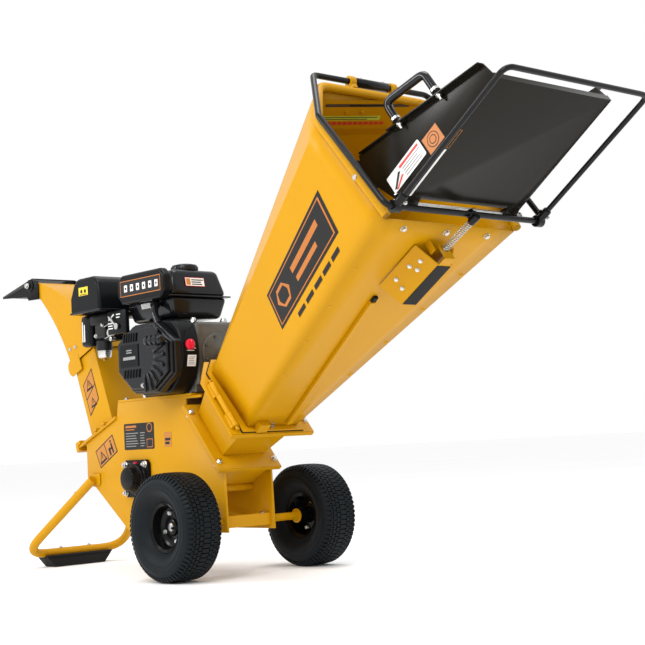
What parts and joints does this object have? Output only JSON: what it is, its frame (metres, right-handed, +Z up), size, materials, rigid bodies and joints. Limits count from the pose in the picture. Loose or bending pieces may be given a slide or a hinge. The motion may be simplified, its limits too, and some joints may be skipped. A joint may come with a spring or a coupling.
{
  "type": "wood chipper",
  "caption": "Two-wheeled petrol wood chipper with a drum rotor, hinged hexagonal feed hopper, folding feed table, stop bars and a curved discharge chute.",
  "frame": {"origin": "on the floor, under the middle of the machine's bounding box", "axes": "+Z up, +Y towards the discharge chute, -X towards the pull-start side of the engine"},
  "size_m": [0.544, 2.2096, 1.1483],
  "materials": {
    "yellow_paint": "glossy",
    "black_paint": "satin",
    "black_plastic": "satin",
    "rubber": "matte",
    "tyre": "matte",
    "bare_steel": "satin",
    "engine_alloy": "satin",
    "red_plastic": "glossy"
  },
  "bodies": {
    "chassis": {"left_side_plate": "yellow_paint", "right_side_plate": "yellow_paint", "engine_deck": "yellow_paint", "drum_casing": "yellow_paint", "infeed_floor": "yellow_paint", "infeed_roof": "yellow_paint", "anvil": "bare_steel", "chamber_flange": "yellow_paint", "throat_lower_flange": "yellow_paint", "throat_duct": "yellow_paint", "throat_upper_flange": "yellow_paint", "hopper_seal": "rubber", "hopper_hinge_pin": "bare_steel", "discharge_flange": "yellow_paint", "discharge_duct": "yellow_paint", "discharge_chute": "yellow_paint", "stand_leg": "yellow_paint", "stand_foot": "rubber", "axle": "yellow_paint", "bearing_left": "black_paint", "bearing_right": "black_paint", "belt_guard": "yellow_paint", "drive_belt": "rubber", "crankcase": "engine_alloy", "cylinder": "engine_alloy", "fan_housing": "black_plastic", "recoil_cover": "black_plastic", "fuel_tank": "black_plastic", "tank_guard": "black_plastic", "air_filter": "black_plastic", "carburettor": "engine_alloy", "muffler": "engine_alloy"},
    "hopper": {"hopper_floor": "yellow_paint", "hopper_left_side": "yellow_paint", "hopper_right_side": "yellow_paint", "hopper_roof": "yellow_paint", "hopper_flange": "yellow_paint", "mouth_rim": "yellow_paint", "switch_box": "yellow_paint", "hopper_curtain": "rubber", "return_spring": "bare_steel"},
    "table": {"feed_table": "black_paint", "table_handle": "black_plastic"},
    "stop_bar": {"stop_bar": "black_paint", "stop_bar_sleeve": "black_plastic"},
    "push_bar": {"push_bar": "black_paint"},
    "wheel_left": {"tyre_left": "tyre", "rim_left": "black_paint"},
    "wheel_right": {"tyre_right": "tyre", "rim_right": "black_paint"},
    "rotor": {"rotor_drum": "bare_steel", "rotor_knife_1": "bare_steel", "rotor_knife_2": "bare_steel", "rotor_pulley": "bare_steel"},
    "crankshaft": {"crankshaft": "bare_steel"},
    "flap": {"deflector_flap": "black_paint"},
    "recoil_grip": {"recoil_grip": "black_plastic"},
    "fuel_cap": {"fuel_cap": "black_plastic"},
    "throttle_lever": {"throttle_lever": "bare_steel"},
    "engine_switch": {"engine_switch": "red_plastic"}
  },
  "joints": [
    {"name": "wheel_left_spin", "type": "hinge", "parent": "chassis", "child": "wheel_left", "pos_m": [-0.218, 0.0345, 0.133], "axis": [1, 0, 0], "continuous": true},
    {"name": "wheel_right_spin", "type": "hinge", "parent": "chassis", "child": "wheel_right", "pos_m": [0.218, 0.0345, 0.133], "axis": [1, 0, 0], "continuous": true},
    {"name": "rotor_spin", "type": "hinge", "parent": "chassis", "child": "rotor", "pos_m": [0, 0.3865, 0.249], "axis": [1, 0, 0], "continuous": true},
    {"name": "crankshaft_spin", "type": "hinge", "parent": "chassis", "child": "crankshaft", "pos_m": [0.1, 0.2195, 0.563], "axis": [1, 0, 0], "continuous": true},
    {"name": "hopper_swing", "type": "hinge", "parent": "chassis", "child": "hopper", "pos_m": [-0.114, -0.04505, 0.4252], "axis": [0, -0.6455, -0.7638], "range_deg": [0, 75]},
    {"name": "table_fold", "type": "hinge", "parent": "hopper", "child": "table", "pos_m": [0, -0.7625, 0.806], "axis": [-1, 0, 0], "range_deg": [0, 62]},
    {"name": "stop_bar_tilt", "type": "hinge", "parent": "hopper", "child": "stop_bar", "pos_m": [0, -0.50985, 1.13534], "axis": [1, 0, 0], "range_deg": [0, 2.5], "stiffness_Nm_per_rad": 60, "springref_deg": -20.05, "deforming": ["return_spring"]},
    {"name": "push_bar_fold", "type": "hinge", "parent": "stop_bar", "child": "push_bar", "pos_m": [0, -0.7905, 0.79], "axis": [-1, 0, 0], "range_deg": [0, 84]},
    {"name": "flap_tilt", "type": "hinge", "parent": "chassis", "child": "flap", "pos_m": [0, 0.9315, 0.835], "axis": [1, 0, 0], "range_deg": [-35, 25]},
    {"name": "recoil_pull", "type": "slide", "parent": "chassis", "child": "recoil_grip", "axis": [-1, 0, 0], "range_m": [0, 0.3], "stiffness_N_per_m": 40, "springref_m": -0.1},
    {"name": "fuel_cap_turn", "type": "hinge", "parent": "chassis", "child": "fuel_cap", "pos_m": [-0.016, 0.2245, 0.8], "axis": [0, 0, 1], "range_deg": [0, 90]},
    {"name": "throttle_turn", "type": "hinge", "parent": "chassis", "child": "throttle_lever", "pos_m": [-0.132, 0.3865, 0.66], "axis": [1, 0, 0], "range_deg": [-20, 20]},
    {"name": "switch_turn", "type": "hinge", "parent": "chassis", "child": "engine_switch", "pos_m": [-0.104, 0.0895, 0.586], "axis": [0, -1, 0], "range_deg": [0, 60]}
  ],
  "couplings": [
    {"joint": "crankshaft_spin", "follows": "rotor_spin", "ratio": 1.6316}
  ]
}
